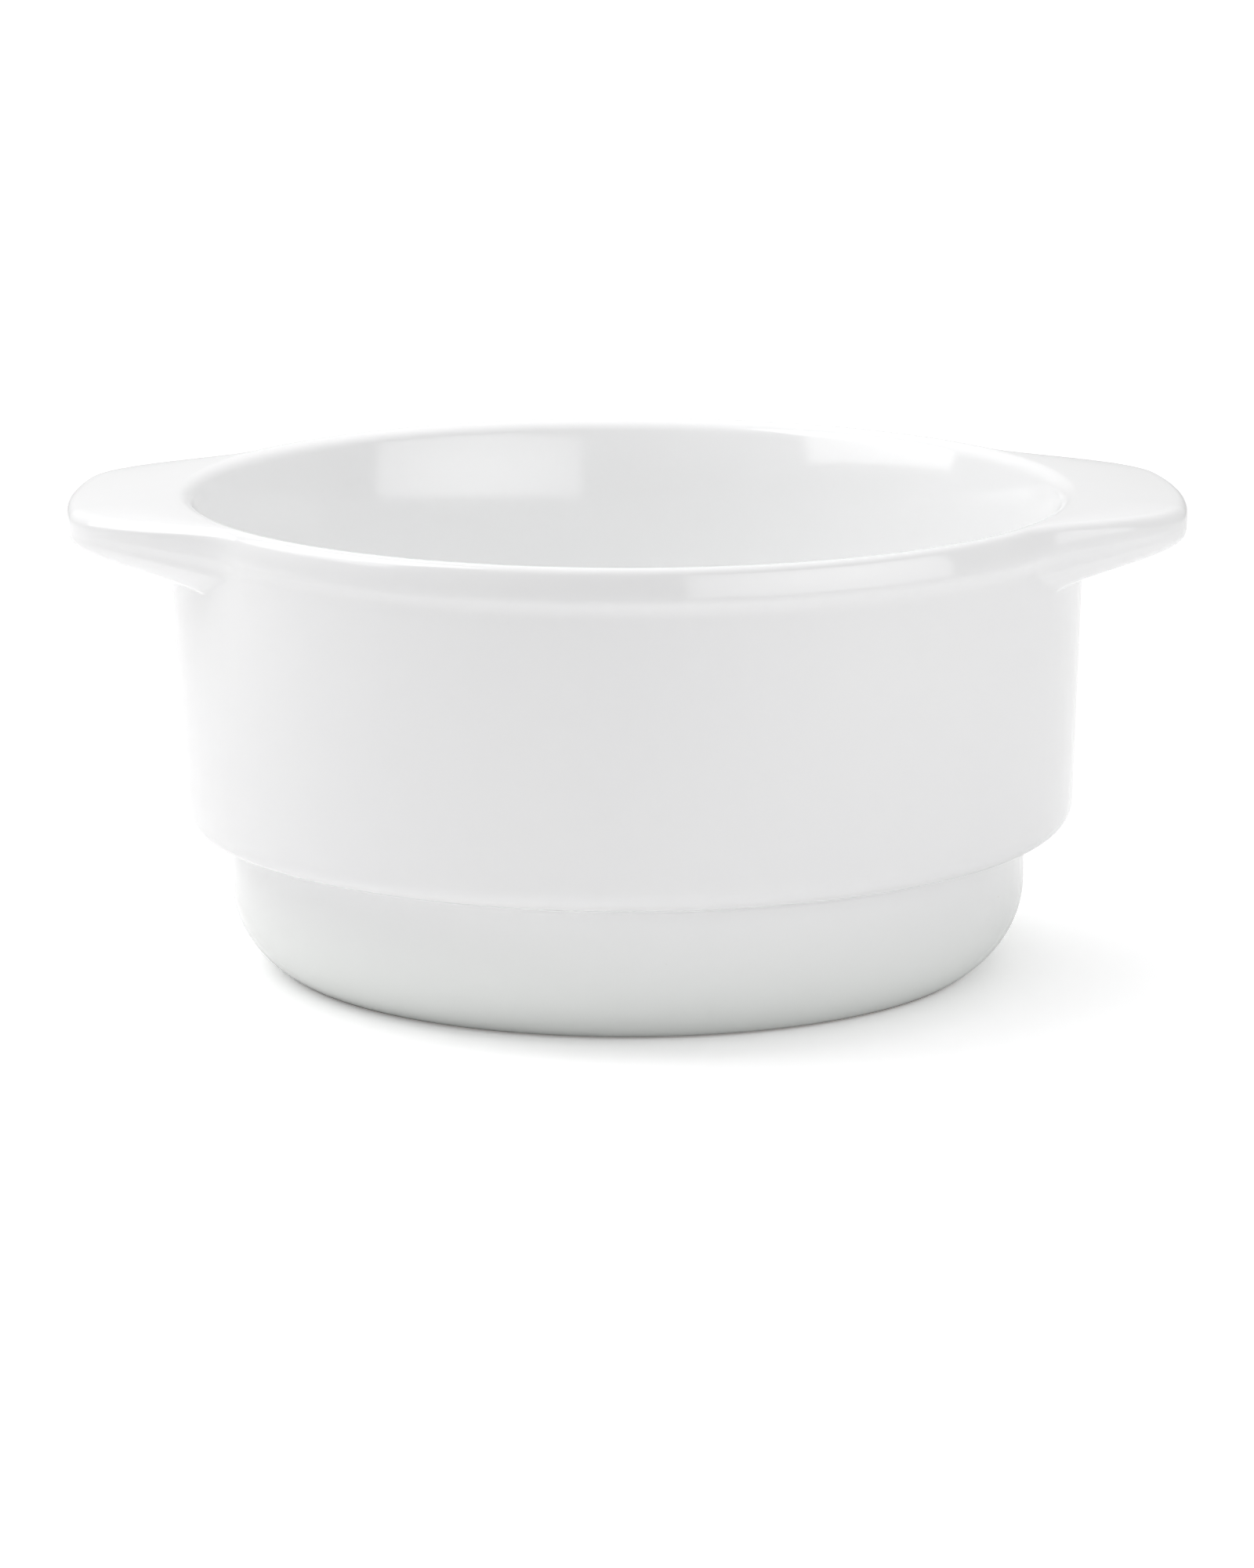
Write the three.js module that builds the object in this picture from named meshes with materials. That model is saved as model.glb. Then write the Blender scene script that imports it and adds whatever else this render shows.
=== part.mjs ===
// A lugged stacking soup bowl in white glazed vitrified china.
//
// The vessel is a turned body: a flat floor, a tapered wall with a rolled lip, a stacking ledge
// low down outside, and a foot that draws in to the table. Two solid lugs are luted to the outside
// of the lip, and a bare ring under the foot carries the bowl.
//
// Millimetres and degrees, +Z up. The origin is on the table, on the axis of the bowl.
// The lugs lie along X.

import * as THREE from "three";

// Overall
const HEIGHT = 58.6; // table to the crown of the lip
const WALL_RADIUS = 56.1; // outside of the wall, at the height of the lip's centre
const WALL_DRAFT = 1.64;

// Lip: a full round that stands proud of the wall, with a hollow where it runs into the wall
const LIP_THICKNESS = 3.6;
const LIP_OVERHANG = 0.8;
const LIP_NECK_RADIUS = 1.2;

// Stacking ledge: the next bowl of a stack takes the foot inside its lip and carries the ledge
const LEDGE_WIDTH = 5.85;
const LEDGE_SLOPE = 15;
const SHOULDER_RADIUS = 3;
const STEP_FILLET = 0.6;

// Foot
const FOOT_SIDE_HEIGHT = 6.1; // straight side under the ledge
const FOOT_CURVE_HEIGHT = 10.7; // curved part, down to the table
const FOOT_DRAW_IN = 6.6; // how far the curved part comes in
const RING_HEIGHT = 0.8;
const RING_WIDTH = 4; // flat that stands on the table
const RECESS_DEPTH = 0.9; // hollow under the floor, above the ring's seat
const RECESS_FILLET = 0.4;

// Inside
const INNER_DRAFT = 8.5;
const INNER_CORNER_RADIUS = 26;
const FLOOR_THICKNESS = 3.5;

// Lugs
const LUG_PROJECTION = 11.6; // beyond the lip
const LUG_TIP_HALF_ANGLE = 8; // the tip is an arc about the bowl's axis as far as this
const LUG_TOP_FADE_HALF_ANGLE = 34; // the top edge has run into the wall here
const LUG_UNDER_FADE_HALF_ANGLE = 25; // and the lower edge here
const LUG_TIP_THICKNESS = 4.2;
const LUG_UNDER_SLOPE = 15;
const LUG_TOP_SLOPE = 3;
const LUG_TOP_EDGE_RADIUS = 1.8;
const LUG_UNDER_EDGE_RADIUS = 2.2;
const LUG_THINNEST_EDGE = 0.4; // the lug's ends, where its flanks have run almost into the lip
const LUG_END_SEAT = 1.5; // wall that the lug's ends still cover under the lip's hollow

// Clearance at a luted seam
const SEAM = 0.3;

// Fineness of the round forms
const FACETS_AROUND = 72;
const ARC_DIVISIONS = 3;
const LUG_SECTIONS = 23;
const FILLET_SHARE = 0.45; // most of a flat that the fillet at one of its ends may take

const degrees = THREE.MathUtils.degToRad;
const slope = (angle) => Math.tan(degrees(angle));
const point = (r, z) => new THREE.Vector2(r, z);

const lipRadius = LIP_THICKNESS / 2;
const lipOuterRadius = WALL_RADIUS + LIP_OVERHANG;
const lipCentre = point(lipOuterRadius - lipRadius, HEIGHT - lipRadius);
const stepHeight = FOOT_CURVE_HEIGHT + FOOT_SIDE_HEIGHT;
const stepRadius = wallRadiusAt(stepHeight) - LEDGE_WIDTH;
const seatHeight = RING_HEIGHT + SEAM;
const recessHeight = seatHeight + RECESS_DEPTH;
const floorHeight = recessHeight + FLOOR_THICKNESS;
const lugReach = lipOuterRadius + LUG_PROJECTION;

// The foot's curve touches its straight side and has drawn in fully at the table.
const footCurveRadius = (FOOT_CURVE_HEIGHT ** 2 + FOOT_DRAW_IN ** 2) / (2 * FOOT_DRAW_IN);
const footCentre = point(stepRadius - footCurveRadius, FOOT_CURVE_HEIGHT);
const ringInnerRadius = footRadiusAt(0) - RING_WIDTH;

// The hollow under the lip touches the wall and the lip's round.
const wallUp = point(Math.sin(degrees(WALL_DRAFT)), Math.cos(degrees(WALL_DRAFT)));
const wallOut = point(wallUp.y, -wallUp.x);
const neckCentre = centreOfNeck();

function centreOfNeck() {
  const across = (WALL_RADIUS - lipCentre.x) * wallOut.x + LIP_NECK_RADIUS;
  const along = Math.sqrt((lipRadius + LIP_NECK_RADIUS) ** 2 - across ** 2);
  return lipCentre.clone().addScaledVector(wallOut, across).addScaledVector(wallUp, -along);
}

// Where the hollow meets the wall and the lip, both grown by a clearance.
function neckOnWall(clearance) {
  return neckCentre.clone().addScaledVector(wallOut, clearance - LIP_NECK_RADIUS);
}

function neckOnLip(clearance) {
  return lipCentre.clone().lerp(neckCentre, (lipRadius + clearance) / (lipRadius + LIP_NECK_RADIUS));
}

// Radius of the outside wall at a height.
function wallRadiusAt(z) {
  return WALL_RADIUS - (HEIGHT - LIP_THICKNESS / 2 - z) * slope(WALL_DRAFT);
}

// Radius of the curved part of the foot at a height.
function footRadiusAt(z) {
  return footCentre.x + Math.sqrt(footCurveRadius ** 2 - (FOOT_CURVE_HEIGHT - z) ** 2);
}

// Adds an arc about a centre, from one point on it to another.
function arcBetween(path, centre, from, to, clockwise = false) {
  const start = Math.atan2(from.y - centre.y, from.x - centre.x);
  const end = Math.atan2(to.y - centre.y, to.x - centre.x);
  path.absarc(centre.x, centre.y, centre.distanceTo(from), start, end, clockwise);
}

// Draws a line towards a corner and rounds the corner by a tangent arc that heads for the next point.
function roundCorner(path, corner, next, radius) {
  const arriving = corner.clone().sub(path.currentPoint).normalize();
  const leaving = next.clone().sub(corner).normalize();
  const turn = Math.atan2(arriving.cross(leaving), arriving.dot(leaving));
  const side = Math.sign(turn);
  const setback = radius * Math.tan(Math.abs(turn) / 2);
  const start = corner.clone().addScaledVector(arriving, -setback);
  const end = corner.clone().addScaledVector(leaving, setback);
  const centre = point(start.x - side * radius * arriving.y, start.y + side * radius * arriving.x);
  path.lineTo(start.x, start.y);
  arcBetween(path, centre, start, end, side < 0);
}

// A solid turned about Z from a profile of radius and height.
function turned(profile) {
  return new THREE.LatheGeometry(profile.getPoints(ARC_DIVISIONS), FACETS_AROUND).rotateX(Math.PI / 2);
}

// Bowl body: one closed turned profile from the recess under the floor, round the outside,
// over the lip and down the inside to the axis.
function bowlBody() {
  const footEdge = point(footRadiusAt(seatHeight), seatHeight);
  const footCurveTop = point(stepRadius, FOOT_CURVE_HEIGHT);
  const step = point(stepRadius, stepHeight);

  // The ledge's line and the wall's line meet at the shoulder.
  const ledgeRun = LEDGE_WIDTH / (1 - slope(LEDGE_SLOPE) * slope(WALL_DRAFT));
  const shoulder = point(stepRadius + ledgeRun, stepHeight + ledgeRun * slope(LEDGE_SLOPE));

  // The inner wall leaves the lip at a tangent and meets the floor's line at the inner corner.
  const inward = point(-Math.cos(degrees(INNER_DRAFT)), Math.sin(degrees(INNER_DRAFT)));
  const innerTop = lipCentre.clone().addScaledVector(inward, lipRadius);
  const innerDrop = innerTop.y - floorHeight;
  const innerCorner = point(innerTop.x - innerDrop * slope(INNER_DRAFT), floorHeight);
  const crown = point(lipCentre.x, HEIGHT);

  const profile = new THREE.Path();
  profile.moveTo(0, recessHeight);
  roundCorner(
    profile,
    point(ringInnerRadius, recessHeight),
    point(ringInnerRadius, seatHeight),
    Math.min(RECESS_FILLET, RECESS_DEPTH * FILLET_SHARE),
  );
  profile.lineTo(ringInnerRadius, seatHeight);
  profile.lineTo(footEdge.x, footEdge.y);
  arcBetween(profile, footCentre, footEdge, footCurveTop);
  roundCorner(profile, step, shoulder, STEP_FILLET);
  roundCorner(profile, shoulder, neckOnWall(0), SHOULDER_RADIUS);
  profile.lineTo(neckOnWall(0).x, neckOnWall(0).y);
  arcBetween(profile, neckCentre, neckOnWall(0), neckOnLip(0), true);
  arcBetween(profile, lipCentre, neckOnLip(0), crown);
  arcBetween(profile, lipCentre, crown, innerTop);
  roundCorner(profile, innerCorner, point(0, floorHeight), INNER_CORNER_RADIUS);
  profile.lineTo(0, floorHeight);
  return turned(profile);
}

// Foot ring: the bare ring that stands on the table, its outside on the curve of the foot.
function footRing() {
  const profile = new THREE.Path();
  profile.moveTo(ringInnerRadius, 0);
  profile.lineTo(footRadiusAt(0), 0);
  arcBetween(profile, footCentre, point(footRadiusAt(0), 0), point(footRadiusAt(RING_HEIGHT), RING_HEIGHT));
  profile.lineTo(ringInnerRadius, RING_HEIGHT);
  profile.lineTo(ringInnerRadius, 0);
  return turned(profile);
}

// How far an edge of the lug stands out at an angle from the lug's own axis: the tip is an arc about
// the bowl, and each flank runs into the wall along half a cosine wave.
function lugRadiusAt(angle, fadeHalfAngle) {
  const past = Math.abs(angle) - degrees(LUG_TIP_HALF_ANGLE);
  const fade = THREE.MathUtils.clamp(past / degrees(fadeHalfAngle - LUG_TIP_HALF_ANGLE), 0, 1);
  return THREE.MathUtils.lerp(WALL_RADIUS, lugReach, (1 + Math.cos(Math.PI * fade)) / 2);
}

// The angle at which the top edge has come within the thinnest edge of the lip's seam.
function lugEndAngle() {
  const left = lipOuterRadius + SEAM + LUG_THINNEST_EDGE - WALL_RADIUS;
  const fade = Math.acos((2 * left) / (lugReach - WALL_RADIUS) - 1) / Math.PI;
  return degrees(THREE.MathUtils.lerp(LUG_TIP_HALF_ANGLE, LUG_TOP_FADE_HALF_ANGLE, fade));
}

// Radial section of a lug at an angle from its own axis. Its root follows the wall, the hollow and the
// lip at the seam's clearance, its top runs out from the lip, and its underside falls to the wall.
// Where the lower edge has run into the wall, the foot of the flank climbs towards the lip.
function lugSection(angle) {
  const rootLip = lipRadius + SEAM;
  const rootTop = point(lipCentre.x + Math.sqrt(rootLip ** 2 - lipRadius ** 2), HEIGHT);
  const topAt = (r) => HEIGHT - (r - rootTop.x) * slope(LUG_TOP_SLOPE);
  const underRise = (lugReach - WALL_RADIUS) * slope(LUG_UNDER_SLOPE);
  const deepestRoot = topAt(lugReach) - LUG_TIP_THICKNESS - underRise;
  const endRoot = neckOnWall(SEAM).y - LUG_END_SEAT;
  const climb = THREE.MathUtils.smoothstep(
    Math.abs(angle),
    degrees(LUG_UNDER_FADE_HALF_ANGLE),
    lugEndAngle(),
  );
  const rootHeight = THREE.MathUtils.lerp(deepestRoot, endRoot, climb);
  const rootFoot = point(wallRadiusAt(rootHeight) + SEAM, rootHeight);

  const upperRadius = lugRadiusAt(angle, LUG_TOP_FADE_HALF_ANGLE);
  const lowerRadius = Math.max(
    lugRadiusAt(angle, LUG_UNDER_FADE_HALF_ANGLE),
    rootFoot.x + LUG_THINNEST_EDGE,
  );
  const upper = point(upperRadius, topAt(upperRadius));
  const lower = point(lowerRadius, rootHeight + (lowerRadius - rootFoot.x) * slope(LUG_UNDER_SLOPE));
  const nose = upper.distanceTo(lower);
  const upperFlat = Math.min(nose, upperRadius - rootTop.x);
  const lowerFlat = Math.min(nose, lowerRadius - rootFoot.x);

  const section = new THREE.Path();
  section.moveTo(rootFoot.x, rootFoot.y);
  roundCorner(section, lower, upper, Math.min(LUG_UNDER_EDGE_RADIUS, lowerFlat * FILLET_SHARE));
  roundCorner(section, upper, rootTop, Math.min(LUG_TOP_EDGE_RADIUS, upperFlat * FILLET_SHARE));
  section.lineTo(rootTop.x, rootTop.y);
  arcBetween(section, lipCentre, rootTop, neckOnLip(SEAM), true);
  arcBetween(section, neckCentre, neckOnLip(SEAM), neckOnWall(SEAM));
  return section.getPoints(ARC_DIVISIONS);
}

// Joins closed flat sections of equal point count, each turned about Z by its own angle, into one
// solid with a flat cap at each end. Each section runs counter-clockwise in radius and height.
function sweptAbout(sections, angles) {
  const count = sections[0].length;
  const last = (sections.length - 1) * count;
  const positions = [];
  const indices = [];
  sections.forEach((section, s) => {
    for (const p of section) positions.push(p.x * Math.cos(angles[s]), p.x * Math.sin(angles[s]), p.y);
  });
  for (let start = 0; start < last; start += count) {
    for (let i = 0; i < count; i += 1) {
      const here = start + i;
      const beside = start + ((i + 1) % count);
      indices.push(here, here + count, beside, beside, here + count, beside + count);
    }
  }
  for (const [a, b, c] of THREE.ShapeUtils.triangulateShape(sections[0], [])) indices.push(a, b, c);
  for (const [a, b, c] of THREE.ShapeUtils.triangulateShape(sections.at(-1), [])) {
    indices.push(last + a, last + c, last + b);
  }
  const geometry = new THREE.BufferGeometry();
  geometry.setAttribute("position", new THREE.Float32BufferAttribute(positions, 3));
  geometry.setIndex(indices);
  return geometry;
}

// Lug: radial sections swept about the bowl's axis, on the +X side.
function lug() {
  const end = lugEndAngle();
  const angles = Array.from({ length: LUG_SECTIONS }, (_, s) =>
    THREE.MathUtils.lerp(-end, end, s / (LUG_SECTIONS - 1)),
  );
  return sweptAbout(angles.map(lugSection), angles);
}

const glaze = () => new THREE.MeshStandardMaterial({ color: 0xf0f1ee, roughness: 0.1, metalness: 0 });
const bareClay = () => new THREE.MeshStandardMaterial({ color: 0xbfa58c, roughness: 0.85, metalness: 0 });

function piece(name, geometry, material) {
  const mesh = new THREE.Mesh(geometry, material);
  mesh.name = name;
  return mesh;
}

const leftLug = piece("left_lug", lug(), glaze());
leftLug.rotation.z = Math.PI;

const bowl = new THREE.Group();
bowl.add(piece("bowl_body", bowlBody(), glaze()));
bowl.add(piece("foot_ring", footRing(), bareClay()));
bowl.add(piece("right_lug", lug(), glaze()));
bowl.add(leftLug);

export default bowl;
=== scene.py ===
"""A white glazed lugged soup bowl on a pale studio floor."""
import math

import bmesh
import bpy
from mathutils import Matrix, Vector


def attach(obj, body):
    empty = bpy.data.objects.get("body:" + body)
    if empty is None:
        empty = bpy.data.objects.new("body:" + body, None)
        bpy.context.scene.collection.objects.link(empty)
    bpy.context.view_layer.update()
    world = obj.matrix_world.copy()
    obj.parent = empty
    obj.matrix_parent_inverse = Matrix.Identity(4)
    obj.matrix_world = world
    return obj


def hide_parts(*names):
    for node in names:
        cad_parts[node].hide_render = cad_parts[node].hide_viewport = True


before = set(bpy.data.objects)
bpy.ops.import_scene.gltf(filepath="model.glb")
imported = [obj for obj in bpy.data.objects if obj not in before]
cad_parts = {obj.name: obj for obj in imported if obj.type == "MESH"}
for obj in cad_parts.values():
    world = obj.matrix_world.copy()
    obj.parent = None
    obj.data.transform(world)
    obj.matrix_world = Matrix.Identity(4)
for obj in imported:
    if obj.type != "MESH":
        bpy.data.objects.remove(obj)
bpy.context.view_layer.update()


# Bowl body
# The vessel: floor, tapered wall, rolled lip, stacking ledge and foot in one turned and pressed piece
# of white vitrified china, dipped in a clear gloss glaze down to the edge of its foot.

# Pieces are drawn in millimetres, with angles in degrees, and scaled to metres when they are finished.
MM = 0.001

HEIGHT = 58.6
WALL_RADIUS = 56.1
WALL_TOP = 56.8
WALL_DRAFT = 1.64
LIP_EDGE = 56.6
LIP_FACE_RADIUS = 8
LIP_OUTER_ROUND = 1.2
LIP_INNER_ROUND = 2.0
LIP_UNDER_ROUND = 2
NECK_HEIGHT = 52.6
NECK_RADIUS = 4
LEDGE_WIDTH = 5.85
LEDGE_SLOPE = 15
SHOULDER_RADIUS = 3
STEP_FILLET = 0.6
STEP_HEIGHT = 16.8
FOOT_CURVE_HEIGHT = 10.7
FOOT_DRAW_IN = 6.6
GLAZE_EDGE_HEIGHT = 0.45
GLAZE_EDGE_RADIUS = 0.12
SEAT_HEIGHT = 1.1
RECESS_HEIGHT = 2.0
RECESS_FILLET = 0.4
RING_WIDTH = 4
INNER_FLOOR_HEIGHT = 5.5
INNER_DRAFT = 5.5
INNER_CORNER_RADIUS = 26
FLARE_RADIUS = 51
FLARE_TILT = 17
TURNING_STEPS = 360
ROUND_STEPS = 8
LONG_STEPS = 14
CREASE_ANGLE = 40
MERGE_DISTANCE = 0.001


def slope(angle):
    """Rise of a line over a run of 1, from its angle in degrees."""
    return math.tan(math.radians(angle))


def wall_radius_at(height):
    """Radius of the outside wall, which leans out a little towards the lip."""
    return WALL_RADIUS - (WALL_TOP - height) * slope(WALL_DRAFT)


def line_to(drawing, start, radius, height, steps=1):
    """Draws a straight line of a profile from a vertex, in equal steps."""
    first = start.co.copy()
    for step in range(1, steps + 1):
        start = bmesh.ops.extrude_vert_indiv(drawing, verts=[start])["verts"][0]
        start.co = first.lerp((radius, 0, height), step / steps)
    return start


def arc_about(drawing, start, centre, angle, steps=ROUND_STEPS):
    """Draws an arc of a profile about a centre, counter-clockwise by an angle in degrees."""
    made = bmesh.ops.spin(
        drawing, geom=[start], cent=(centre[0], 0, centre[1]), axis=(0, -1, 0),
        angle=math.radians(angle), steps=steps,
    )
    return [item for item in made["geom_last"] if isinstance(item, bmesh.types.BMVert)][0]


def angle_about(centre, radius, height):
    """Direction from a centre to a point of a profile, in degrees."""
    return math.degrees(math.atan2(height - centre[1], radius - centre[0]))


def turn_profile(drawing):
    """Turns a drawn profile about Z into a closed skin with its faces outwards."""
    bmesh.ops.spin(
        drawing, geom=drawing.verts[:] + drawing.edges[:], cent=(0, 0, 0), axis=(0, 0, 1),
        angle=math.tau, steps=TURNING_STEPS, use_merge=True,
    )
    bmesh.ops.remove_doubles(drawing, verts=drawing.verts, dist=MERGE_DISTANCE)
    bmesh.ops.recalc_face_normals(drawing, faces=drawing.faces)


def finished_piece(name, drawing, material):
    """Scales a piece drawn in millimetres to metres and adds it to the scene, smooth but for creases."""
    bmesh.ops.scale(drawing, vec=(MM, MM, MM), verts=drawing.verts)
    for face in drawing.faces:
        face.smooth = True
    mesh = bpy.data.meshes.new(name)
    drawing.to_mesh(mesh)
    drawing.free()
    mesh.set_sharp_from_angle(angle=math.radians(CREASE_ANGLE))
    mesh.materials.append(material)
    made = bpy.data.objects.new(name, mesh)
    bpy.context.scene.collection.objects.link(made)
    return made


# Under the lip a hollow leads from the wall to the lip's lower edge.
wall_rise = math.cos(math.radians(WALL_DRAFT))
wall_lean = math.sin(math.radians(WALL_DRAFT))
neck_foot = wall_radius_at(NECK_HEIGHT)
neck_span = NECK_RADIUS + LIP_UNDER_ROUND
under_rise = NECK_RADIUS * wall_rise + LIP_UNDER_ROUND - (LIP_EDGE - neck_foot)
UNDER_ANGLE = math.degrees(math.asin(under_rise / neck_span))
NECK_CENTRE = (neck_foot + NECK_RADIUS * wall_rise, NECK_HEIGHT - NECK_RADIUS * wall_lean)
NECK_TURN = UNDER_ANGLE - (90 - WALL_DRAFT)
UNDER_CENTRE = (
    LIP_EDGE - LIP_UNDER_ROUND,
    NECK_CENTRE[1] + neck_span * math.cos(math.radians(UNDER_ANGLE)),
)
UNDER_TURN = 90 - UNDER_ANGLE

# The lip's outer face is a flat curve that leans in to a small round at the crown.
LIP_FACE_CENTRE = (LIP_EDGE - LIP_FACE_RADIUS, UNDER_CENTRE[1])
round_height = HEIGHT - LIP_OUTER_ROUND
face_span = LIP_FACE_RADIUS - LIP_OUTER_ROUND
LIP_FACE_TURN = math.degrees(math.asin((round_height - LIP_FACE_CENTRE[1]) / face_span))
LIP_CROWN = LIP_FACE_CENTRE[0] + face_span * math.cos(math.radians(LIP_FACE_TURN))
LIP_OUTER_CENTRE = (LIP_CROWN, round_height)
LIP_INNER_CENTRE = (LIP_CROWN, HEIGHT - LIP_INNER_ROUND)

# The foot's curve touches its straight side and has drawn in fully at the table.
STEP_RADIUS = wall_radius_at(STEP_HEIGHT) - LEDGE_WIDTH
FOOT_CURVE_RADIUS = (FOOT_CURVE_HEIGHT ** 2 + FOOT_DRAW_IN ** 2) / (2 * FOOT_DRAW_IN)
FOOT_CENTRE = (STEP_RADIUS - FOOT_CURVE_RADIUS, FOOT_CURVE_HEIGHT)


def foot_radius_at(height, inset=0):
    """Radius of the curved part of the foot, or of a curve set in from it."""
    return FOOT_CENTRE[0] + math.sqrt((FOOT_CURVE_RADIUS - inset) ** 2 - (FOOT_CURVE_HEIGHT - height) ** 2)


RING_INNER_RADIUS = foot_radius_at(0) - RING_WIDTH
glaze_edge_inset = 2 * GLAZE_EDGE_RADIUS

profile = bmesh.new()
pen = profile.verts.new((0, 0, RECESS_HEIGHT))
pen = line_to(profile, pen, RING_INNER_RADIUS - RECESS_FILLET, RECESS_HEIGHT, LONG_STEPS)
pen = arc_about(profile, pen, (RING_INNER_RADIUS - RECESS_FILLET, RECESS_HEIGHT - RECESS_FILLET), -90)
pen = line_to(profile, pen, RING_INNER_RADIUS, SEAT_HEIGHT)
pen = line_to(profile, pen, foot_radius_at(SEAT_HEIGHT, glaze_edge_inset), SEAT_HEIGHT)

# The glaze ends in a small rounded edge that laps over the ring.
under_edge = foot_radius_at(GLAZE_EDGE_HEIGHT, glaze_edge_inset)
edge_angle = angle_about(FOOT_CENTRE, under_edge, GLAZE_EDGE_HEIGHT)
pen = arc_about(profile, pen, FOOT_CENTRE, edge_angle - angle_about(FOOT_CENTRE, pen.co.x, pen.co.z))
edge_centre = (
    under_edge + GLAZE_EDGE_RADIUS * math.cos(math.radians(edge_angle)),
    GLAZE_EDGE_HEIGHT + GLAZE_EDGE_RADIUS * math.sin(math.radians(edge_angle)),
)
pen = arc_about(profile, pen, edge_centre, 180)
pen = arc_about(profile, pen, FOOT_CENTRE, -edge_angle, LONG_STEPS)

# The straight side of the foot runs by a small fillet into the ledge, and that by a round into the wall.
ledge_turn = 90 - LEDGE_SLOPE
fillet_setback = STEP_FILLET * slope(ledge_turn / 2)
pen = line_to(profile, pen, STEP_RADIUS, STEP_HEIGHT - fillet_setback, ROUND_STEPS)
pen = arc_about(profile, pen, (STEP_RADIUS + STEP_FILLET, pen.co.z), -ledge_turn)
ledge_run = LEDGE_WIDTH / (1 - slope(LEDGE_SLOPE) * slope(WALL_DRAFT))
shoulder = (STEP_RADIUS + ledge_run, STEP_HEIGHT + ledge_run * slope(LEDGE_SLOPE))
shoulder_turn = 90 - WALL_DRAFT - LEDGE_SLOPE
shoulder_setback = SHOULDER_RADIUS * slope(shoulder_turn / 2)
ledge_across = math.cos(math.radians(LEDGE_SLOPE))
ledge_rise = math.sin(math.radians(LEDGE_SLOPE))
pen = line_to(
    profile, pen, shoulder[0] - shoulder_setback * ledge_across,
    shoulder[1] - shoulder_setback * ledge_rise, ROUND_STEPS,
)
shoulder_centre = (pen.co.x - SHOULDER_RADIUS * ledge_rise, pen.co.z + SHOULDER_RADIUS * ledge_across)
pen = arc_about(profile, pen, shoulder_centre, shoulder_turn, LONG_STEPS)
pen = line_to(profile, pen, neck_foot, NECK_HEIGHT, LONG_STEPS)

# The hollow, the rolled lip, and inside the lip a slight flare that dies into the inner wall.
pen = arc_about(profile, pen, NECK_CENTRE, NECK_TURN)
pen = arc_about(profile, pen, UNDER_CENTRE, UNDER_TURN)
pen = arc_about(profile, pen, LIP_FACE_CENTRE, LIP_FACE_TURN)
pen = arc_about(profile, pen, LIP_OUTER_CENTRE, 90 - LIP_FACE_TURN, LONG_STEPS)
pen = arc_about(profile, pen, LIP_INNER_CENTRE, 90 - FLARE_TILT, LONG_STEPS)
flare_across = math.cos(math.radians(FLARE_TILT))
flare_rise = math.sin(math.radians(FLARE_TILT))
flare_centre = (pen.co.x + FLARE_RADIUS * flare_across, pen.co.z - FLARE_RADIUS * flare_rise)
pen = arc_about(profile, pen, flare_centre, FLARE_TILT - INNER_DRAFT)

# The inner wall runs by a wide round into the floor.
inner_across = math.cos(math.radians(INNER_DRAFT))
inner_rise = math.sin(math.radians(INNER_DRAFT))
corner_top = INNER_FLOOR_HEIGHT + INNER_CORNER_RADIUS * (1 - inner_rise)
corner_side = pen.co.x - (pen.co.z - corner_top) * slope(INNER_DRAFT)
pen = line_to(profile, pen, corner_side, corner_top, LONG_STEPS)
corner_centre = (
    corner_side - INNER_CORNER_RADIUS * inner_across,
    INNER_FLOOR_HEIGHT + INNER_CORNER_RADIUS,
)
pen = arc_about(profile, pen, corner_centre, INNER_DRAFT - 90, LONG_STEPS)
line_to(profile, pen, 0, INNER_FLOOR_HEIGHT, LONG_STEPS)
turn_profile(profile)


def linear(hex_colour):
    """An sRGB hex colour as linear red, green, blue and alpha."""
    channels = [int(hex_colour[i:i + 2], 16) / 255 for i in (1, 3, 5)]
    return [c / 12.92 if c <= 0.04045 else ((c + 0.055) / 1.055) ** 2.4 for c in channels] + [1]


def add_node(tree, kind, settings=None, values=None):
    """Adds a node, sets its options, and fills its sockets by value or by a link from another socket."""
    node = tree.nodes.new(kind)
    for name, value in (settings or {}).items():
        setattr(node, name, value)
    for name, value in (values or {}).items():
        if isinstance(value, bpy.types.NodeSocket):
            tree.links.new(value, node.inputs[name])
        else:
            node.inputs[name].default_value = value
    return node


def empty_material(name):
    """A material with nothing in its node tree but the output."""
    made = bpy.data.materials.new(name)
    made.use_nodes = True
    made.node_tree.nodes.clear()
    output = made.node_tree.nodes.new("ShaderNodeOutputMaterial")
    return made, made.node_tree, output


# Clear gloss glaze over white china: a wet-looking white with a faint cloudiness, a soft ripple in its
# reflections and a few iron specks. Low down it is painted a little greener and lighter; the lightening
# is painted light, standing in for light bounced up from the paper onto the foot.
GLAZE_WHITE = linear("#F5F5F5")
GLAZE_CLOUD = linear("#F2F2F3")
# A lighter, slightly greener white for low down: painted bounce light on the foot.
GLAZE_LOW_GREEN_PAINTED_BOUNCE = linear("#F6F9F6")
GLAZE_SPECK = linear("#B9AE9C")
GLAZE_IOR = 1.5
GLAZE_LEAST_ROUGHNESS = 0.09
GLAZE_MOST_ROUGHNESS = 0.13
CLOUD_SIZE = 28 * MM
CLOUD_DETAIL = 2
RIPPLE_SIZE = 11 * MM
RIPPLE_DETAIL = 1
RIPPLE_DEPTH = 0.012 * MM
SPECK_SPACING = 11 * MM
SPECK_RADIUS = 0.2 * MM
SPECK_SHARE = 0.4
PAINTED_BOUNCE_TOP = 20 * MM
PAINTED_BOUNCE_SHARE = 0.8

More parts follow.
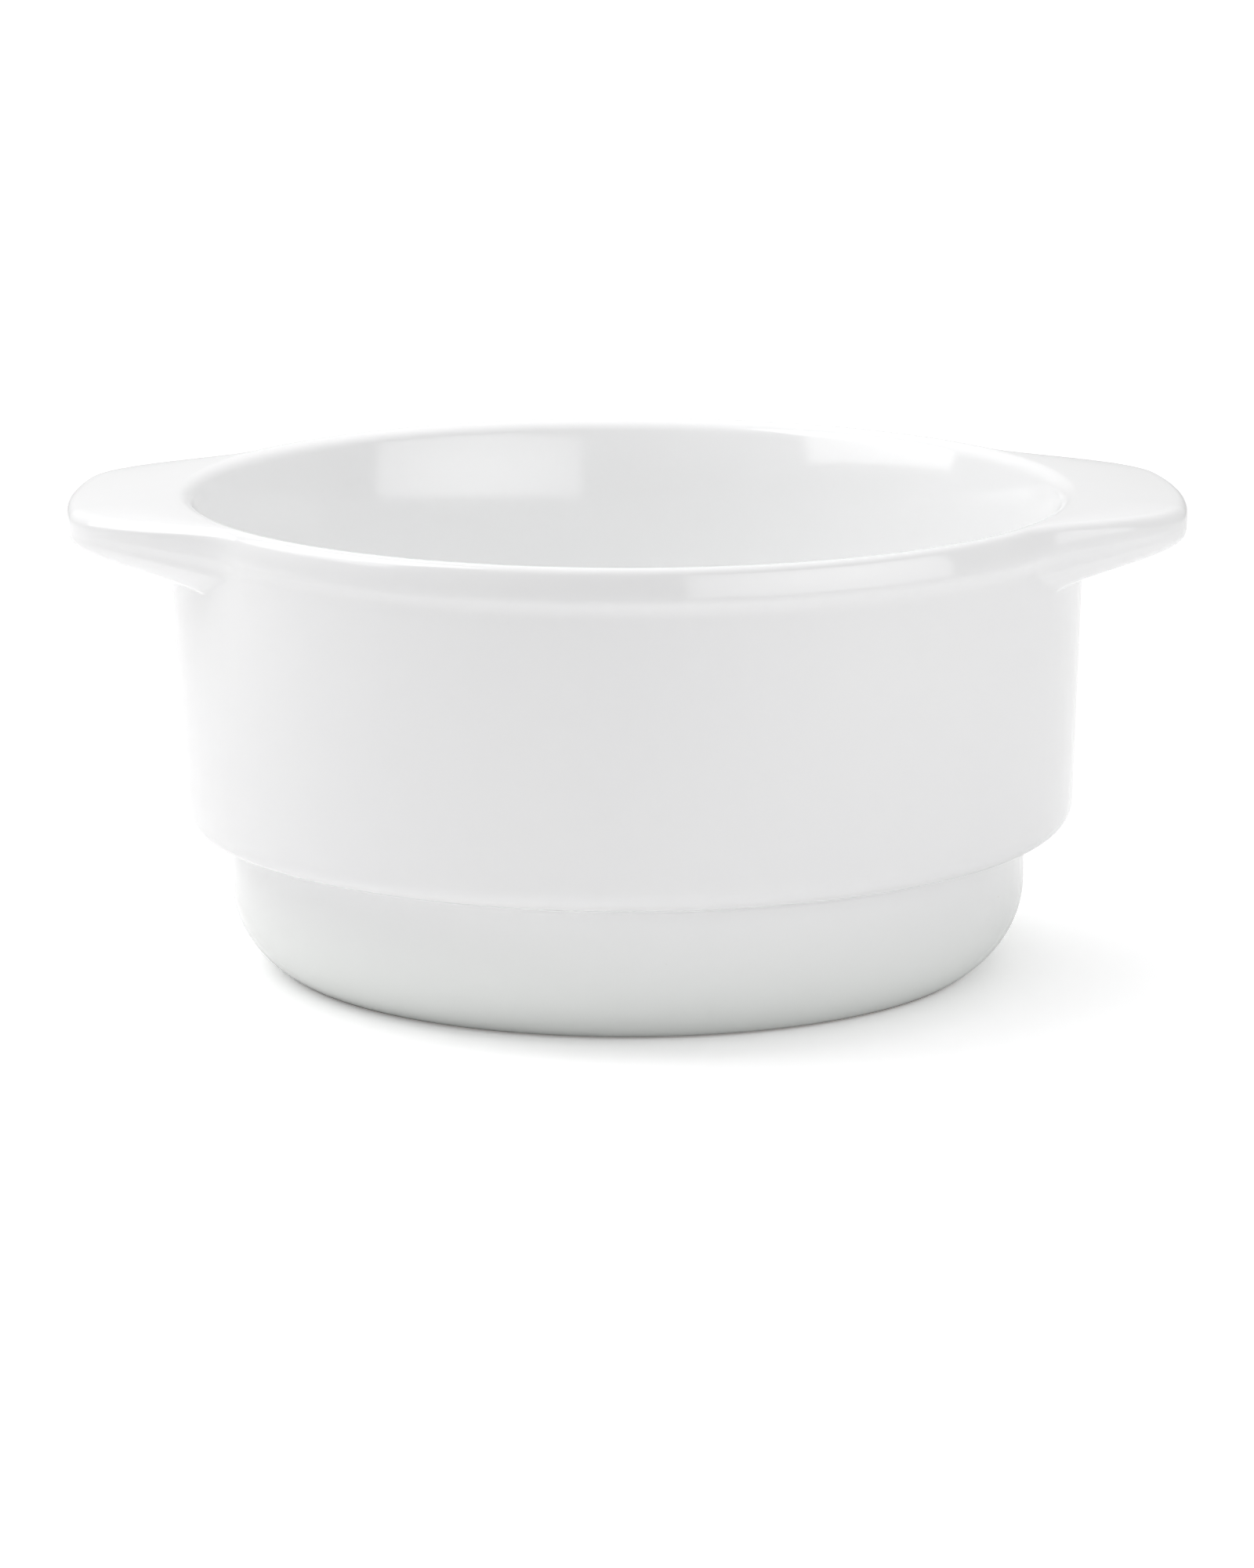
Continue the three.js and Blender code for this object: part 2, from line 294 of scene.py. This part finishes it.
glaze, glaze_tree, glaze_output = empty_material("clear_gloss_glaze_on_white_china")
place = add_node(glaze_tree, "ShaderNodeTexCoord").outputs["Object"]
cloud = add_node(
    glaze_tree, "ShaderNodeTexNoise",
    values={"Vector": place, "Scale": 1 / CLOUD_SIZE, "Detail": CLOUD_DETAIL},
)
clouded = add_node(
    glaze_tree, "ShaderNodeMix", {"data_type": "RGBA"},
    {"Factor": cloud.outputs["Fac"], "A": GLAZE_WHITE, "B": GLAZE_CLOUD},
)
heights = add_node(glaze_tree, "ShaderNodeSeparateXYZ", values={"Vector": place})
# Painted bounce light: lower down, up to a set height, the colour is mixed more and more towards the
# lighter, greener white.
painted_bounce_fade = add_node(
    glaze_tree, "ShaderNodeMapRange", {"interpolation_type": "SMOOTHSTEP"},
    {"Value": heights.outputs["Z"], "From Min": 0, "From Max": PAINTED_BOUNCE_TOP, "To Min": PAINTED_BOUNCE_SHARE, "To Max": 0},
)
greened_with_painted_bounce = add_node(
    glaze_tree, "ShaderNodeMix", {"data_type": "RGBA"},
    {"Factor": painted_bounce_fade.outputs["Result"], "A": clouded.outputs["Result"], "B": GLAZE_LOW_GREEN_PAINTED_BOUNCE},
)
specks = add_node(glaze_tree, "ShaderNodeTexVoronoi", values={"Vector": place, "Scale": 1 / SPECK_SPACING})
speck_rim = add_node(
    glaze_tree, "ShaderNodeMapRange", {"interpolation_type": "SMOOTHSTEP"},
    {
        "Value": specks.outputs["Distance"], "From Min": 0, "From Max": SPECK_RADIUS / SPECK_SPACING,
        "To Min": 1, "To Max": 0,
    },
)
speck_draw = add_node(glaze_tree, "ShaderNodeSeparateXYZ", values={"Vector": specks.outputs["Color"]})
speck_kept = add_node(
    glaze_tree, "ShaderNodeMath", {"operation": "LESS_THAN"},
    {0: speck_draw.outputs["X"], 1: SPECK_SHARE},
)
speck_shown = add_node(
    glaze_tree, "ShaderNodeMath", {"operation": "MULTIPLY"},
    {0: speck_rim.outputs["Result"], 1: speck_kept.outputs["Value"]},
)
glaze_colour = add_node(
    glaze_tree, "ShaderNodeMix", {"data_type": "RGBA"},
    {"Factor": speck_shown.outputs["Value"], "A": greened_with_painted_bounce.outputs["Result"], "B": GLAZE_SPECK},
)
ripple = add_node(
    glaze_tree, "ShaderNodeTexNoise",
    values={"Vector": place, "Scale": 1 / RIPPLE_SIZE, "Detail": RIPPLE_DETAIL},
)
rippled = add_node(
    glaze_tree, "ShaderNodeBump", values={"Height": ripple.outputs["Fac"], "Distance": RIPPLE_DEPTH},
)
wetness = add_node(
    glaze_tree, "ShaderNodeMapRange",
    values={
        "Value": cloud.outputs["Fac"],
        "To Min": GLAZE_LEAST_ROUGHNESS, "To Max": GLAZE_MOST_ROUGHNESS,
    },
)
glaze_surface = add_node(
    glaze_tree, "ShaderNodeBsdfPrincipled",
    values={
        "Base Color": glaze_colour.outputs["Result"], "Roughness": wetness.outputs["Result"],
        "IOR": GLAZE_IOR, "Normal": rippled.outputs["Normal"],
    },
)
glaze_tree.links.new(glaze_surface.outputs["BSDF"], glaze_output.inputs["Surface"])

bowl_body = finished_piece("glazed_bowl_body", profile, glaze)
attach(bowl_body, "root")
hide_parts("bowl_body")


# Lugs
# Two solid lug handles of the same china, pressed in a mould and luted with slip to the outside of the
# lip and wall. Each is flush with the rim, and its flanks run out into the lip under the same glaze.

LUG_REACH = 68.5
LUG_TIP_FRONT_ANGLE = 8.5
LUG_TIP_BACK_ANGLE = 12.5
LUG_HALF_ANGLE = 36
LUG_UNDER_FADE = 26
LUG_TOP_FADE = 33
LUG_EDGE_FADE = 31.7
LUG_NECK_FADE = 34
LUG_TIP_THICKNESS = 4.2
LUG_UNDER_SLOPE = 18.4
LUG_TOP_RADIUS = 124
LUG_TOP_EDGE_RADIUS = 1.5
LUG_UNDER_EDGE_RADIUS = 2.2
LUG_COVE_RADIUS = 0.4
LUG_ROOT_SPAN = 0.8
LUG_SKIN = 0.01
LUG_KEYED_IN = 0.3
LUG_FLAT_START = 80
LUG_CROWN_RADIUS = 1.9
LUG_CROWN_OVERLAP = 32
LUG_END_START = 34
LUG_END_SINK = 0.1
LUG_STEPS_AROUND = 180
COVE_STEPS = 5
UNDER_STEPS = 14
LOWER_EDGE_STEPS = 10
LIP_ARC_STEPS = 4
LIP_ARCS = 3
NOSE_STEPS = LIP_ARCS * LIP_ARC_STEPS
UPPER_EDGE_STEPS = 10
TOP_STEPS = 14
OVERLAP_STEPS = 4

lug_crown_centre = (LIP_CROWN, HEIGHT - LUG_CROWN_RADIUS)
lug_top_centre = (LIP_CROWN, HEIGHT - LUG_TOP_RADIUS)
lug_tip_top = lug_top_centre[1] + math.sqrt(LUG_TOP_RADIUS ** 2 - (LUG_REACH - LIP_CROWN) ** 2)
lug_tip_under = lug_tip_top - LUG_TIP_THICKNESS
LUG_ROOT_HEIGHT = lug_tip_under - (LUG_REACH - WALL_RADIUS) * slope(LUG_UNDER_SLOPE)


def root_profile(grown):
    """The wall, the hollow and the outside of the lip behind a lug, as points from the root upwards."""
    drawing = bmesh.new()
    foot = wall_radius_at(LUG_ROOT_HEIGHT) + grown
    pen = drawing.verts.new((foot, 0, LUG_ROOT_HEIGHT))
    root_top = LUG_ROOT_HEIGHT + LUG_ROOT_SPAN
    pen = line_to(drawing, pen, wall_radius_at(root_top) + grown, root_top, COVE_STEPS + UNDER_STEPS)
    pen = line_to(drawing, pen, neck_foot + grown, NECK_HEIGHT, LOWER_EDGE_STEPS)
    pen = arc_about(drawing, pen, NECK_CENTRE, NECK_TURN, LIP_ARC_STEPS)
    pen = arc_about(drawing, pen, UNDER_CENTRE, UNDER_TURN, LIP_ARC_STEPS)
    pen = arc_about(drawing, pen, LIP_FACE_CENTRE, LIP_FACE_TURN, LIP_ARC_STEPS)
    pen = arc_about(drawing, pen, LIP_OUTER_CENTRE, LUG_FLAT_START - LIP_FACE_TURN, UPPER_EDGE_STEPS)
    pen = arc_about(drawing, pen, LIP_OUTER_CENTRE, 90 - LUG_FLAT_START, TOP_STEPS)
    arc_about(drawing, pen, lug_crown_centre, LUG_CROWN_OVERLAP, OVERLAP_STEPS)
    points = [(v.co.x, v.co.z) for v in drawing.verts]
    drawing.free()
    return points


def lug_profile():
    """The section through a lug's tip, as points from the root round the nose to the lip's crown."""
    drawing = bmesh.new()
    cove_turn = 90 - WALL_DRAFT - LUG_UNDER_SLOPE
    cove_setback = LUG_COVE_RADIUS * slope(cove_turn / 2)
    cove_foot = LUG_ROOT_HEIGHT - cove_setback
    pen = drawing.verts.new((wall_radius_at(cove_foot) + LUG_SKIN, 0, cove_foot))
    pen = arc_about(drawing, pen, (pen.co.x + LUG_COVE_RADIUS, pen.co.z), -cove_turn, COVE_STEPS)
    under_turn = 90 - LUG_UNDER_SLOPE
    under_setback = LUG_UNDER_EDGE_RADIUS * slope(under_turn / 2)
    across = math.cos(math.radians(LUG_UNDER_SLOPE))
    rise = math.sin(math.radians(LUG_UNDER_SLOPE))
    pen = line_to(
        drawing, pen, LUG_REACH - under_setback * across, lug_tip_under - under_setback * rise, UNDER_STEPS,
    )
    edge_centre = (LUG_REACH - LUG_UNDER_EDGE_RADIUS, lug_tip_under + under_setback)
    pen = arc_about(drawing, pen, edge_centre, under_turn, LOWER_EDGE_STEPS)
    nose_across = LUG_REACH - LUG_TOP_EDGE_RADIUS - LIP_CROWN
    nose_rise = math.sqrt((LUG_TOP_RADIUS - LUG_TOP_EDGE_RADIUS) ** 2 - nose_across ** 2)
    top_turn = math.degrees(math.atan2(nose_across, nose_rise))
    nose_top = lug_top_centre[1] + nose_rise
    pen = line_to(drawing, pen, LUG_REACH, nose_top, NOSE_STEPS)
    nose_centre = (LUG_REACH - LUG_TOP_EDGE_RADIUS, nose_top)
    pen = arc_about(drawing, pen, nose_centre, 90 - top_turn, UPPER_EDGE_STEPS)
    pen.co.z += LUG_SKIN
    pen = arc_about(drawing, pen, lug_top_centre, top_turn, TOP_STEPS)
    arc_about(drawing, pen, lug_crown_centre, LUG_CROWN_OVERLAP, OVERLAP_STEPS)
    points = [(v.co.x, v.co.z) for v in drawing.verts]
    drawing.free()
    return points


def fade_angles():
    """The angle from the lug's axis at which each point of the section has run into the bowl."""
    runs = (
        (LUG_UNDER_FADE, COVE_STEPS + UNDER_STEPS),
        (LUG_EDGE_FADE, LOWER_EDGE_STEPS),
        (LUG_NECK_FADE, NOSE_STEPS),
        (LUG_TOP_FADE, UPPER_EDGE_STEPS),
        (LUG_TOP_FADE, TOP_STEPS + OVERLAP_STEPS),
    )
    fades = [LUG_UNDER_FADE]
    for last_fade, steps in runs:
        first_fade = fades[-1]
        fades += [first_fade + (last_fade - first_fade) * (i + 1) / steps for i in range(steps)]
    return fades


def run_out(angle, fade_angle):
    """How much of the lug is left at an angle: all over the tip, then half a cosine wave to none."""
    tip_angle = LUG_TIP_BACK_ANGLE if angle > 0 else LUG_TIP_FRONT_ANGLE
    share = (abs(angle) - tip_angle) / (fade_angle - tip_angle)
    return (1 + math.cos(math.pi * min(max(share, 0), 1))) / 2


def on_bowl(radius, height, angle):
    """A point at an angle from the lugs' line, in degrees."""
    return (radius * math.cos(math.radians(angle)), radius * math.sin(math.radians(angle)), height)


def lug_piece(name, side):
    """A lug as a closed solid: its skin, and a back that is keyed a little into the wall and lip."""
    skin = root_profile(LUG_SKIN)
    root = root_profile(-LUG_KEYED_IN)
    tip = lug_profile()
    fades = fade_angles()
    last = len(skin) - 1
    drawing = bmesh.new()
    bmesh.ops.create_grid(drawing, x_segments=LUG_STEPS_AROUND, y_segments=last, size=1)
    backing = bmesh.ops.duplicate(drawing, geom=drawing.verts[:] + drawing.edges[:] + drawing.faces[:])
    backing_verts = {item for item in backing["geom"] if isinstance(item, bmesh.types.BMVert)}
    rims = [edge for edge in drawing.edges if edge.is_boundary]
    for vert in drawing.verts:
        angle = vert.co.x * LUG_HALF_ANGLE
        row = round((vert.co.y + 1) / 2 * last)
        if vert in backing_verts:
            vert.co = on_bowl(*root[row], angle)
        else:
            left = run_out(angle, fades[row])
            sink = LUG_END_SINK * max(0, abs(angle) - LUG_END_START) / (LUG_HALF_ANGLE - LUG_END_START)
            plain = Vector(skin[row]).lerp(root[row], sink)
            vert.co = on_bowl(*plain.lerp(tip[row], left), angle)
    bmesh.ops.bridge_loops(drawing, edges=rims)
    bmesh.ops.scale(drawing, vec=(side, 1, 1), verts=drawing.verts)
    bmesh.ops.recalc_face_normals(drawing, faces=drawing.faces)
    return finished_piece(name, drawing, glaze)


for node, side in (("right_lug", 1), ("left_lug", -1)):
    lug = lug_piece("glazed_" + node, side)
    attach(lug, "root")
    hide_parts(node)


# Foot ring
# The ring that the bowl stands on, of the same clay as the body. Its glaze was wiped off before the
# firing so that it would not stick to the kiln shelf, and it was ground flat afterwards.

RING_INSET = 0.26
RING_HEIGHT = 1.05
RING_EDGE_RADIUS = 0.2

ring_outer = foot_radius_at(0, RING_INSET)
profile = bmesh.new()
pen = profile.verts.new((RING_INNER_RADIUS, 0, RING_EDGE_RADIUS))
pen = arc_about(profile, pen, (RING_INNER_RADIUS + RING_EDGE_RADIUS, RING_EDGE_RADIUS), 90)
pen = line_to(profile, pen, ring_outer, 0, ROUND_STEPS)
ring_turn = angle_about(FOOT_CENTRE, foot_radius_at(RING_HEIGHT, RING_INSET), RING_HEIGHT)
pen = arc_about(profile, pen, FOOT_CENTRE, ring_turn - angle_about(FOOT_CENTRE, ring_outer, 0))
pen = line_to(profile, pen, RING_INNER_RADIUS, RING_HEIGHT, ROUND_STEPS)
profile.edges.new((pen, profile.verts[:][0]))
turn_profile(profile)

# Bare fired clay, ground flat: a matt pale tan with a fine sandy grain.
CLAY_PALE = linear("#C9B197")
CLAY_DARK = linear("#AC9176")
CLAY_ROUGHNESS = 0.85
CLAY_IOR = 1.45
CLAY_GRAIN = 0.5 * MM
CLAY_GRAIN_DETAIL = 3
CLAY_GRAIN_DEPTH = 0.03 * MM

clay, clay_tree, clay_output = empty_material("bare_ground_clay")
place = add_node(clay_tree, "ShaderNodeTexCoord").outputs["Object"]
grain = add_node(
    clay_tree, "ShaderNodeTexNoise",
    values={"Vector": place, "Scale": 1 / CLAY_GRAIN, "Detail": CLAY_GRAIN_DETAIL},
)
clay_colour = add_node(
    clay_tree, "ShaderNodeMix", {"data_type": "RGBA"},
    {"Factor": grain.outputs["Fac"], "A": CLAY_PALE, "B": CLAY_DARK},
)
grained = add_node(
    clay_tree, "ShaderNodeBump", values={"Height": grain.outputs["Fac"], "Distance": CLAY_GRAIN_DEPTH},
)
clay_surface = add_node(
    clay_tree, "ShaderNodeBsdfPrincipled",
    values={
        "Base Color": clay_colour.outputs["Result"], "Roughness": CLAY_ROUGHNESS, "IOR": CLAY_IOR,
        "Normal": grained.outputs["Normal"],
    },
)
clay_tree.links.new(clay_surface.outputs["BSDF"], clay_output.inputs["Surface"])

foot_ring = finished_piece("bare_foot_ring", profile, clay)
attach(foot_ring, "root")
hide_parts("foot_ring")


# Studio
# White paper under the bowl and a white surround. A softbox high at the back left, a lower one at the
# front right and a large one overhead light it, and a long lens looks a little down on the rim. Metres.

FLOOR_SIZE = 6
FLOOR_WHITE = linear("#FDFDFD")
FLOOR_GLOW = 0.245
FLOOR_FAR_GLOW = 1
FLOOR_GLOW_START = 0.3
FLOOR_GLOW_END = 0.9
FLOOR_MIRRORED_GLOW = 0.01

sweep = bmesh.new()
bmesh.ops.create_grid(sweep, x_segments=1, y_segments=1, size=FLOOR_SIZE / 2)
floor_mesh = bpy.data.meshes.new("studio_floor")
sweep.to_mesh(floor_mesh)
sweep.free()
floor = bpy.data.objects.new("studio_floor", floor_mesh)
bpy.context.scene.collection.objects.link(floor)


def seen_and_mirrored(tree):
    """Sockets that are 1 for what the camera sees itself, and for what gloss or glass shows."""
    ray = add_node(tree, "ShaderNodeLightPath")
    mirrored = add_node(
        tree, "ShaderNodeMath", {"operation": "MAXIMUM"},
        {0: ray.outputs["Is Glossy Ray"], 1: ray.outputs["Is Transmission Ray"]},
    )
    return ray.outputs["Is Camera Ray"], mirrored.outputs["Value"]


# White paper, seen plain white beyond the reach of the lamps and with the bowl's shadow near it.
paper, paper_tree, paper_output = empty_material("white_paper_sweep")
paper_seen, paper_mirrored = seen_and_mirrored(paper_tree)
mirrored_glow = add_node(
    paper_tree, "ShaderNodeMath", {"operation": "MULTIPLY"},
    {0: paper_mirrored, 1: FLOOR_MIRRORED_GLOW},
)
place = add_node(paper_tree, "ShaderNodeTexCoord").outputs["Object"]
reach = add_node(paper_tree, "ShaderNodeVectorMath", {"operation": "LENGTH"}, {0: place})
seen_glow = add_node(
    paper_tree, "ShaderNodeMapRange", {"interpolation_type": "SMOOTHSTEP"},
    {
        "Value": reach.outputs["Value"], "From Min": FLOOR_GLOW_START, "From Max": FLOOR_GLOW_END,
        "To Min": FLOOR_GLOW, "To Max": FLOOR_FAR_GLOW,
    },
)
glow = add_node(
    paper_tree, "ShaderNodeMath", {"operation": "MULTIPLY_ADD"},
    {0: paper_seen, 1: seen_glow.outputs["Result"], 2: mirrored_glow.outputs["Value"]},
)
paper_light = add_node(paper_tree, "ShaderNodeEmission", values={"Strength": glow.outputs["Value"]})
paper_face = add_node(paper_tree, "ShaderNodeBsdfDiffuse", values={"Color": FLOOR_WHITE})
paper_whole = add_node(
    paper_tree, "ShaderNodeAddShader",
    values={0: paper_light.outputs["Emission"], 1: paper_face.outputs["BSDF"]},
)
paper_tree.links.new(paper_whole.outputs["Shader"], paper_output.inputs["Surface"])
floor_mesh.materials.append(paper)

# The surround is white to the camera, and lights the bowl and shows in its glaze at strengths of their
# own, which go over from those in front of the bowl to those behind it.
SURROUND_WHITE = linear("#FFFFFF")
SURROUND_SEEN = 1
AMBIENT_FRONT = 0.439
AMBIENT_BACK = 0.458
SURROUND_FRONT = 0.45
SURROUND_BACK = 0.601
SURROUND_BLEND = 0.3

surround = bpy.data.worlds.new("white_surround")
bpy.context.scene.world = surround
surround.use_nodes = True
sky_tree = surround.node_tree
sky_tree.nodes.clear()
towards = add_node(sky_tree, "ShaderNodeTexCoord").outputs["Generated"]
ways = add_node(sky_tree, "ShaderNodeSeparateXYZ", values={"Vector": towards})


def front_to_back(front, back):
    """A strength that goes over smoothly from the front of the surround to its back."""
    blend = add_node(
        sky_tree, "ShaderNodeMapRange", {"interpolation_type": "SMOOTHSTEP"},
        {
            "Value": ways.outputs["Y"], "From Min": -SURROUND_BLEND, "From Max": SURROUND_BLEND,
            "To Min": front, "To Max": back,
        },
    )
    return blend.outputs["Result"]


lighting = front_to_back(AMBIENT_FRONT, AMBIENT_BACK)
showing = front_to_back(SURROUND_FRONT, SURROUND_BACK)
sky_seen, sky_mirrored = seen_and_mirrored(sky_tree)
unseen = add_node(
    sky_tree, "ShaderNodeMapRange", values={"Value": sky_mirrored, "To Min": lighting, "To Max": showing},
)
strength = add_node(
    sky_tree, "ShaderNodeMapRange",
    values={"Value": sky_seen, "To Min": unseen.outputs["Result"], "To Max": SURROUND_SEEN},
)
sky = add_node(
    sky_tree, "ShaderNodeBackground",
    values={"Color": SURROUND_WHITE, "Strength": strength.outputs["Result"]},
)
sky_output = add_node(sky_tree, "ShaderNodeOutputWorld")
sky_tree.links.new(sky.outputs["Background"], sky_output.inputs["Surface"])

# The key and the fill each have a second lamp that shows only as a gleam in the glaze. A gleaming lamp
# stands a little ahead of its place, because lamps in one place hide each other. A lamp's power is in
# watts for each square metre and unit of radiance.
POWER_PER_RADIANCE = 4
GLEAM_LEAD = 0.05
SOFTBOX_SPREAD = 0.7


def softbox(name, place, aim, width, height, radiance, hot_spot, edge_share, gleams):
    """A soft lamp turned to a point and brightest at one spot. It either lights or gleams in gloss."""
    lamp = bpy.data.lights.new(name, "AREA")
    lamp.shape = "RECTANGLE"
    lamp.size = width
    lamp.size_y = height
    lamp.energy = radiance * width * height * POWER_PER_RADIANCE
    lamp.use_nodes = True
    tree = lamp.node_tree
    tree.nodes.clear()
    cloth = add_node(tree, "ShaderNodeNewGeometry").outputs["Parametric"]
    away = add_node(tree, "ShaderNodeVectorMath", {"operation": "DISTANCE"}, {0: cloth, 1: hot_spot})
    falloff = add_node(
        tree, "ShaderNodeMapRange", {"interpolation_type": "SMOOTHSTEP"},
        {
            "Value": away.outputs["Value"], "From Min": 0, "From Max": SOFTBOX_SPREAD,
            "To Min": 1, "To Max": edge_share,
        },
    )
    glow = add_node(tree, "ShaderNodeEmission", values={"Strength": falloff.outputs["Result"]})
    output = add_node(tree, "ShaderNodeOutputLight")
    tree.links.new(glow.outputs["Emission"], output.inputs["Surface"])
    stand = bpy.data.objects.new(name, lamp)
    stand.visible_diffuse = not gleams
    stand.visible_glossy = gleams
    stand.location = Vector(place).lerp(aim, GLEAM_LEAD if gleams else 0)
    stand.rotation_euler = (Vector(aim) - Vector(place)).to_track_quat("-Z", "Y").to_euler()
    bpy.context.scene.collection.objects.link(stand)


KEY_PLACE = (-0.34, 0.05, 0.42)
KEY_AIM = (0, 0, 0.05)
KEY_WIDTH = 0.36
KEY_HEIGHT = 0.36
KEY_RADIANCE = 2.75
KEY_HOT_SPOT = (0.5, 0.5, 0)
KEY_EDGE = 0.5
KEY_GLEAM_PLACE = (-0.312, 0.016, 0.309)
KEY_GLEAM_AIM = (-0.083, 0.162, 0.182)
KEY_GLEAM_WIDTH = 0.36
KEY_GLEAM_HEIGHT = 0.34
KEY_GLEAM = 7.8
KEY_GLEAM_HOT_SPOT = (0.5, 0.7, 0)
KEY_GLEAM_EDGE = 0.3
FILL_PLACE = (0.211, -0.210, 0.12)
FILL_AIM = (0, 0, 0.12)
FILL_WIDTH = 0.37
FILL_HEIGHT = 0.20
FILL_RADIANCE = 0.591
FILL_GLEAM = 2.5
FILL_HOT_SPOT = (0.5, 0.5, 0)
FILL_EDGE = 0.5
TOP_PLACE = (0, 0.16, 0.74)
TOP_AIM = (0, 0.05, 0)
TOP_WIDTH = 0.9
TOP_HEIGHT = 0.9
TOP_RADIANCE = 1.55
TOP_HOT_SPOT = (0.5, 0.5, 0)
TOP_EDGE = 0.5

softbox(
    "key_softbox", KEY_PLACE, KEY_AIM, KEY_WIDTH, KEY_HEIGHT, KEY_RADIANCE,
    KEY_HOT_SPOT, KEY_EDGE, gleams=False,
)
softbox(
    "key_gleam", KEY_GLEAM_PLACE, KEY_GLEAM_AIM, KEY_GLEAM_WIDTH, KEY_GLEAM_HEIGHT, KEY_GLEAM,
    KEY_GLEAM_HOT_SPOT, KEY_GLEAM_EDGE, gleams=True,
)
softbox(
    "fill_softbox", FILL_PLACE, FILL_AIM, FILL_WIDTH, FILL_HEIGHT, FILL_RADIANCE,
    FILL_HOT_SPOT, FILL_EDGE, gleams=False,
)
softbox(
    "fill_gleam", FILL_PLACE, FILL_AIM, FILL_WIDTH, FILL_HEIGHT, FILL_GLEAM,
    FILL_HOT_SPOT, FILL_EDGE, gleams=True,
)
softbox(
    "top_softbox", TOP_PLACE, TOP_AIM, TOP_WIDTH, TOP_HEIGHT, TOP_RADIANCE,
    TOP_HOT_SPOT, TOP_EDGE, gleams=False,
)

CAMERA_DISTANCE = 0.8
CAMERA_HEIGHT_ANGLE = 12.19
CAMERA_SIDE_ANGLE = -1.3
CAMERA_TARGET_HEIGHT = 0.02149
CAMERA_LENS = 148.5

swing = math.radians(CAMERA_SIDE_ANGLE)
dip = math.radians(CAMERA_HEIGHT_ANGLE)
lens = bpy.data.cameras.new("photograph_camera")
lens.lens = CAMERA_LENS
camera = bpy.data.objects.new("photograph_camera", lens)
camera.location = (
    CAMERA_DISTANCE * math.sin(swing) * math.cos(dip),
    -CAMERA_DISTANCE * math.cos(swing) * math.cos(dip),
    CAMERA_TARGET_HEIGHT + CAMERA_DISTANCE * math.sin(dip),
)
camera.rotation_euler = (math.pi / 2 - dip, 0, swing)
bpy.context.scene.collection.objects.link(camera)
bpy.context.scene.camera = camera
bpy.context.scene.view_settings.view_transform = "Standard"
